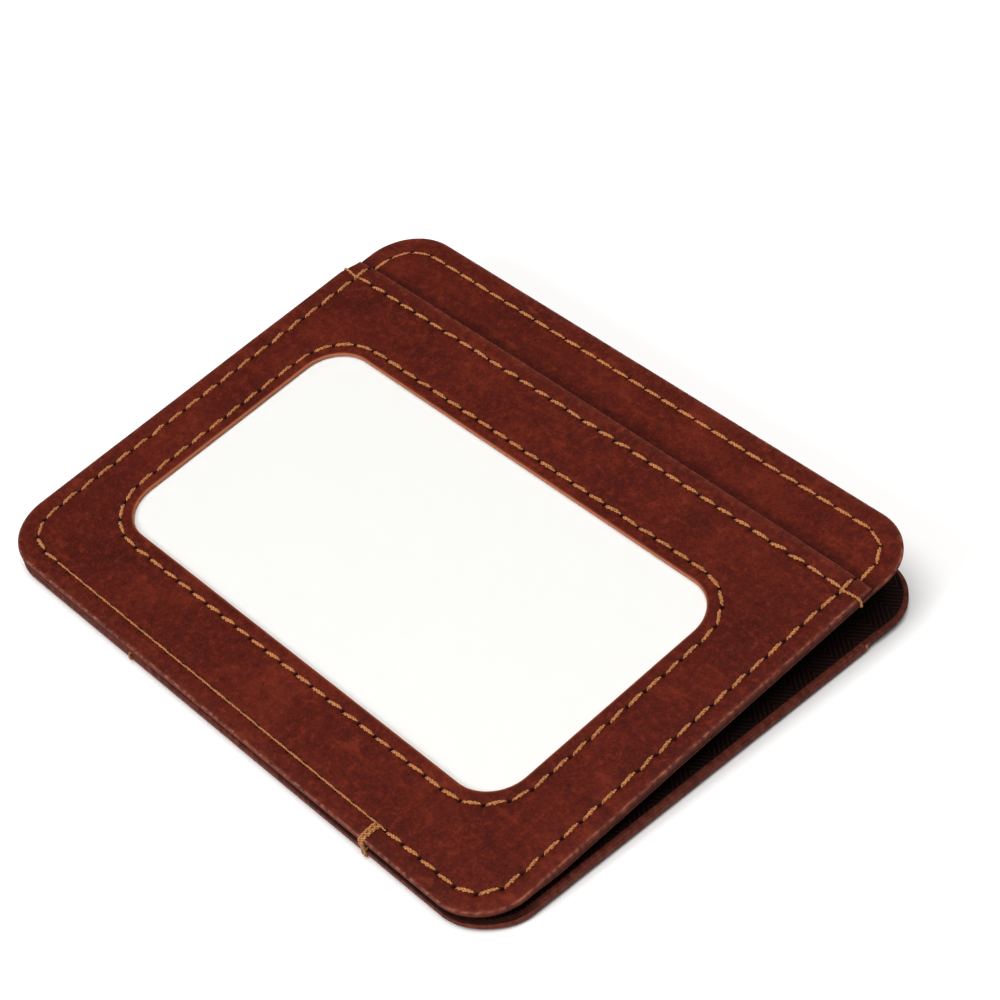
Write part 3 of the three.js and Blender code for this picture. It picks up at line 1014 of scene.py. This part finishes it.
def thread_finish(colours):
    """Waxed golden thread: fine fibres, painted shade between the plies, and darker at the needle holes."""
    material, tree, shader = build_nodes("golden_thread")
    place = millimetres(tree)
    fibres = cloud(tree, millimetres(tree, turn=0.7), 9.0, detail=3)
    tone = cloud(tree, place, 1.1, detail=2)
    gold = colours.thread[:]
    pale = tuple(min(1, c * 1.35) for c in gold)
    deep = (gold[0] * 0.45, gold[1] * 0.36, gold[2] * 0.3)
    colour = blend_colour(tree, ramp(tree, tone, 0.35, 0.7), gold, pale)
    colour = blend_colour(tree, ramp(tree, fibres, 0.56, 0.34, 0, 0.85), colour, deep)
    turns = times(tree, surface_number(tree, "twist_phase"), 2 * math.pi)
    twist = math_node(tree, "SINE", turns)
    # Painted shade: dark bands along the twist stand in for the shade between the plies.
    colour = blend_colour(tree, ramp(tree, twist, 0.1, -0.9, 0, 0.75), colour, deep)
    relief = bump(tree, fibres, 0.05 * MM, 0.6, bump(tree, twist, 0.05 * MM, 0.8))
    fill(tree, shader, Base_Color=colour, Roughness=0.5, Specular_IOR_Level=0.2, Normal=relief)
    fill(tree, shader, Sheen_Weight=0.15, Sheen_Roughness=0.4)
    return material


def lining_finish(colours):
    """Dark herringbone lining: bands of fine slanted ribs whose slant turns from band to band."""
    material, tree, shader = build_nodes("herringbone_lining")
    place = millimetres(tree)
    split = add(tree, "ShaderNodeSeparateXYZ", Vector=place)
    x, y = split.outputs[0], split.outputs[1]
    zigzag = math_node(tree, "PINGPONG", y, 3.6)
    ribs = math_node(tree, "ADD", times(tree, x, 1.6), times(tree, zigzag, 2.3))
    wave = math_node(tree, "SINE", times(tree, ribs, 3.6))
    weft = math_node(tree, "SINE", times(tree, x, 22.0))
    height = math_node(tree, "ADD", times(tree, wave, 0.75), times(tree, weft, 0.25))
    lint = cloud(tree, place, 4.0, detail=3)
    share = times(tree, ramp(tree, height, 0.1, 0.9), ramp(tree, lint, 0.3, 0.6, 0.35, 1))
    colour = blend_colour(tree, share, colours.lining[:], colours.lining_rib[:])
    gloss = ramp(tree, lint, 0.3, 0.7, 0.55, 0.8)
    relief = bump(tree, lint, 0.05 * MM, 0.3, bump(tree, height, 0.08 * MM, 0.8))
    fill(tree, shader, Base_Color=colour, Roughness=gloss, Specular_IOR_Level=0.06, Normal=relief)
    return material


def board_finish():
    """Pressed fibre board inside the halves."""
    material, tree, shader = build_nodes("pressed_board")
    place = millimetres(tree)
    fibres = cloud(tree, place, 2.5, detail=5)
    colour = blend_colour(tree, ramp(tree, fibres, 0.35, 0.65), (0.30, 0.25, 0.19), (0.42, 0.36, 0.28))
    relief = bump(tree, fibres, 0.05 * MM, 0.5)
    fill(tree, shader, Base_Color=colour, Roughness=0.85, Normal=relief)
    return material


def film_finish():
    """Clear, slightly scuffed film."""
    material, tree, shader = build_nodes("clear_film")
    scuffs = cloud(tree, millimetres(tree, scale=(0.08, 0.9, 1), turn=0.5), 1.0, detail=4)
    colour = blend_colour(tree, ramp(tree, scuffs, 0.4, 0.7), (0.93, 0.95, 0.95), (1, 1, 1))
    gloss = ramp(tree, scuffs, 0.5, 0.8, 0.08, 0.2)
    relief = bump(tree, scuffs, 0.01 * MM, 0.2)
    fill(tree, shader, Base_Color=colour, Roughness=gloss, Alpha=0.05, Normal=relief)
    return material


def card_finish(colours):
    """White card stock with a faint tooth."""
    material, tree, shader = build_nodes("card_stock")
    place = millimetres(tree)
    tooth = cloud(tree, place, 5.0, detail=4)
    white = colours.card[:]
    warm = (white[0], white[1] * 0.99, white[2] * 0.975)
    colour = blend_colour(tree, ramp(tree, tooth, 0.3, 0.7), warm, white)
    fill(tree, shader, Base_Color=colour, Roughness=0.6, Normal=bump(tree, tooth, 0.02 * MM, 0.3))
    return material


def floor_finish():
    """Plain white studio sweep."""
    material, tree, shader = build_nodes("studio_white")
    place = millimetres(tree)
    tone = cloud(tree, place, 0.004, detail=2)
    colour = blend_colour(tree, ramp(tree, tone, 0.3, 0.7), (0.83, 0.83, 0.83), (0.84, 0.84, 0.84))
    # Away from the wallet the sweep gives off its own light, so that it stays white out to the horizon.
    away = add(tree, "ShaderNodeVectorMath", {"operation": "LENGTH"}, Vector=place).outputs["Value"]
    glow = ramp(tree, away, 200, 900, 0, 0.95)
    fill(tree, shader, Base_Color=colour, Roughness=0.9, Specular_IOR_Level=0.1)
    fill(tree, shader, Emission_Color=(1, 1, 1), Emission_Strength=glow)
    return material


SMOOTH_ANGLE = math.radians(50)


def finish_piece(piece, make, slot, *nodes, body=None, sizes=None):
    """Gives a piece its finish, hides the CAD nodes that it stands for, and gives it what it rides on; the
    slot is not used.
    """
    material = bpy.data.materials.get(make[0]) or make[1]()
    piece.data.materials.clear()
    piece.data.materials.append(material)
    choose(piece)
    bpy.ops.object.shade_smooth_by_angle(angle=SMOOTH_ANGLE)
    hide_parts(*nodes)
    if body:
        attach(piece, body)
    else:
        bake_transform(piece)


# ---------------------------------------------------------------- operators

def setup(context):
    """The user's sizes and colours."""
    return context.scene.wallet_sizes, context.scene.wallet_colours


class WALLET_OT_leather(bpy.types.Operator):
    """Makes the four leather layers: an outer panel and a backing for each half"""

    bl_idname = "wallet.leather"
    bl_label = "Leather layers"

    def execute(self, context):
        sizes, colours = setup(context)
        make = ("waxed_leather", lambda: leather_finish(colours))
        for side, layer, window, node in (
            ("front", "outer", True, "front_window_panel"),
            ("front", "backing", False, "front_backing_panel"),
            ("back", "outer", False, "back_slot_panel"),
            ("back", "backing", False, "back_backing_panel"),
        ):
            piece = leather_blank(sizes, f"{side}_{layer}_leather", layer, window)
            shape_leather(piece, sizes, side, layer, window)
            settle(piece, PLACE[side])
            body = "back_half" if side == "back" else None
            finish_piece(piece, make, "leather", node, body=body, sizes=sizes)
        return {"FINISHED"}


class WALLET_OT_inner_sheets(bpy.types.Operator):
    """Makes the herringbone linings and the boards bonded behind them"""

    bl_idname = "wallet.inner_sheets"
    bl_label = "Linings and boards"

    def execute(self, context):
        sizes, colours = setup(context)
        lining = ("herringbone_lining", lambda: lining_finish(colours))
        board = ("pressed_board", board_finish)
        for side in ("front", "back"):
            body = "back_half" if side == "back" else None
            for name, low, high, make, node in (
                ("pocket_lining", LINING_LOW, LINING_HIGH, lining, "lining"),
                ("board", STIFFENER_LOW, STIFFENER_HIGH, board, "interlining"),
            ):
                radius = sizes.corner_radius - low.y
                sheet = thin_sheet(f"{side}_{name}", low, high, radius)
                settle(sheet, PLACE[side])
                finish_piece(sheet, make, node, f"{side}_{node}", body=body, sizes=sizes)
        return {"FINISHED"}


FILM_RADIUS = 2 * MM


class WALLET_OT_window(bpy.types.Operator):
    """Makes the clear film and finishes the card behind it"""

    bl_idname = "wallet.window"
    bl_label = "Window film and card"

    def execute(self, context):
        colours = setup(context)[1]
        film = thin_sheet("window_clear_film", FILM_LOW, FILM_HIGH, FILM_RADIUS)
        x, y, z = read_points(film)
        write_points(film, x, y, z + 0.03 * MM * ripple(x, y, 22 * MM, 5.0))
        settle(film, PLACE["front"])
        finish_piece(film, ("clear_film", film_finish), "film", "window_film", body="front_half")
        card = frame["nodes"]["insert_card"]
        card.data.materials.clear()
        card.data.materials.append(card_finish(colours))
        return {"FINISHED"}


class WALLET_OT_thread(bpy.types.Operator):
    """Sews every run of stitches and the wraps over the edges"""

    bl_idname = "wallet.thread"
    bl_label = "Stitches and wraps"

    def execute(self, context):
        sizes, colours = setup(context)
        make = ("golden_thread", lambda: thread_finish(colours))
        chance = random.Random(11)
        stitch = base_stitch()
        for side in ("front", "back"):
            body = "back_half" if side == "back" else None
            outer, backing = face_height(side, "outer"), face_height(side, "backing")
            sets = hole_sets(sizes, side)
            seam_low, seam_high = flat_span(side, f"seam_stitching_{side}")
            seam_start, seam_stop = seam_low.x - 0.15 * MM, seam_high.x + 1.5 * MM
            for kind, line, height, keep in (
                ("left", "lower", outer, lambda x: x < seam_start),
                ("seam", "lower", outer, lambda x: seam_start <= x <= seam_stop),
                ("right", "lower", outer, lambda x: x > seam_stop),
                ("slot", "slot", outer, anywhere),
                ("top", "upper", backing, anywhere),
            ):
                name = f"seam_{side}" if kind == "seam" else f"{side}_{kind}"
                node = f"seam_stitching_{side}" if kind == "seam" else f"{name}_stitching"
                fit = RUN_FITS.get(kind, {})
                run = stitch_run(f"{name}_stitches", stitch, sets[line], height, chance, keep, **fit)
                settle(run, PLACE[side])
                rides = f"{side}_half" if kind in ("slot", "top") else body
                finish_piece(run, make, "thread", node, body=rides, sizes=sizes)
        window_holes = hole_sets(sizes, "front")["window"]
        ring = stitch_run("window_stitches", stitch, window_holes, face_height("front", "outer"), chance)
        settle(ring, PLACE["front"])
        finish_piece(ring, make, "thread", "window_stitching", body="front_half")
        bpy.data.objects.remove(stitch)
        for side, top_z in (("front", PANEL_HIGH.z), ("back", BACK_PANEL_HIGH.z)):
            for end, sign in (("left", -1), ("right", 1)):
                wrap = edge_wrap(
                    f"{side}_{end}_slot_wrap", SLOT_LINE, False, top_z - 0.1 * MM, HALF_LOW.z,
                    sign * WIDTH / 2, strand_lines=((0.0, 0.3),), thin=0.7,
                )
                settle(wrap, PLACE[side])
                finish_piece(wrap, make, "thread", f"{side}_slot_tack_{end}", body=f"{side}_half")
        seam_x = (SEAM_TACK_LOW.x + SEAM_TACK_HIGH.x) / 2
        front_part = edge_wrap("seam_front_part", seam_x, True, PANEL_HIGH.z, 0.1 * MM, 0)
        back_part = edge_wrap("seam_back_part", -seam_x, True, BACK_PANEL_HIGH.z, 0.0, 0)
        settle(front_part, PLACE["front"])
        settle(back_part, PLACE["back"])
        wrap = join([front_part, back_part], "seam_wrap")
        finish_piece(wrap, make, "thread", "seam_tack_front", "seam_tack_back", sizes=sizes)
        edge_x = (EDGE_TACK_LOW.x + EDGE_TACK_HIGH.x) / 2
        wrap = edge_wrap(
            "back_edge_wrap", edge_x, True, BACK_PANEL_HIGH.z - 0.1 * MM, 0.1 * MM,
            0, strand_lines=((0.0, 0.1),), thin=0.7,
        )
        settle(wrap, PLACE["back"])
        finish_piece(wrap, make, "thread", "back_edge_tack", body="back_half")
        return {"FINISHED"}


CAMERA_PLACE = Vector((235.8, -151.9, 271.4)) * MM
CAMERA_AIM = Vector((-5.5, 13.7, 0)) * MM
CAMERA_ROLL = math.radians(-10.3)
CAMERA_LENS = 105.5
CAMERA_NEAR = 0.01
FLOOR_SIZE = 30
LIGHT_TINT = (1, 0.99, 0.98)
ROOM_GLOW = 0.14


def aim(thing, target, roll=0.0):
    """Turns a camera or a light to look at a point."""
    turned = (target - thing.location).to_track_quat("-Z", "Y")
    thing.rotation_euler = (turned @ Matrix.Rotation(roll, 3, "Z").to_quaternion()).to_euler()


class WALLET_OT_stage(bpy.types.Operator):
    """Sets the white floor, the soft lights and the camera"""

    bl_idname = "wallet.stage"
    bl_label = "Stage"

    def execute(self, context):
        deselect()
        bpy.ops.object.camera_add(location=CAMERA_PLACE)
        camera = context.object
        camera.name = "camera"
        camera.data.lens = CAMERA_LENS
        camera.data.clip_start = CAMERA_NEAR
        aim(camera, CAMERA_AIM, CAMERA_ROLL)
        context.scene.camera = camera
        floor_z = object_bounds()[0].z
        bpy.ops.mesh.primitive_plane_add(size=FLOOR_SIZE, location=(0, 0, floor_z))
        floor = context.object
        floor.name = "studio_floor"
        floor.data.materials.append(floor_finish())
        floor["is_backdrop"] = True
        for name, place, size, power in (
            ("key_light", (0.08, -0.08, 0.80), 0.85, 9.0),
            ("side_light", (-0.06, -0.68, 0.46), 0.36, 3.7),
        ):
            bpy.ops.object.light_add(type="AREA", location=place)
            light = context.object
            light.name = name
            light.data.shape = "DISK"
            light.data.size = size
            light.data.energy = power
            light.data.color = LIGHT_TINT
            aim(light, Vector((0, 0, 0)))
        world = bpy.data.worlds.new("soft_white_room")
        world.use_nodes = True
        fill(world.node_tree, world.node_tree.nodes["Background"], Color=(1, 1, 1), Strength=ROOM_GLOW)
        context.scene.world = world
        context.scene.view_settings.view_transform = "Standard"
        return {"FINISHED"}


class VIEW3D_PT_wallet(bpy.types.Panel):
    """Lists the wallet's makers with their sizes and colours"""

    bl_label = "Slim wallet"
    bl_idname = "VIEW3D_PT_wallet"
    bl_space_type = "VIEW_3D"
    bl_region_type = "UI"
    bl_category = "Wallet"

    def draw(self, context):
        sizes, colours = setup(context)
        for group in (sizes, colours):
            column = self.layout.column()
            for name in group.__annotations__:
                column.prop(group, name)
        for maker in MAKERS:
            self.layout.operator(maker.bl_idname)


MAKERS = (WALLET_OT_leather, WALLET_OT_inner_sheets, WALLET_OT_window, WALLET_OT_thread, WALLET_OT_stage)
CLASSES = (WalletSizes, WalletColours, *MAKERS, VIEW3D_PT_wallet)


def register():
    for one in CLASSES:
        bpy.utils.register_class(one)
    bpy.types.Scene.wallet_sizes = PointerProperty(type=WalletSizes)
    bpy.types.Scene.wallet_colours = PointerProperty(type=WalletColours)


def unregister():
    del bpy.types.Scene.wallet_colours
    del bpy.types.Scene.wallet_sizes
    for one in reversed(CLASSES):
        bpy.utils.unregister_class(one)


def main():
    register()
    bpy.ops.wallet.leather()
    bpy.ops.wallet.inner_sheets()
    bpy.ops.wallet.window()
    bpy.ops.wallet.thread()
    bpy.ops.wallet.stage()


if __name__ == "__main__":
    main()
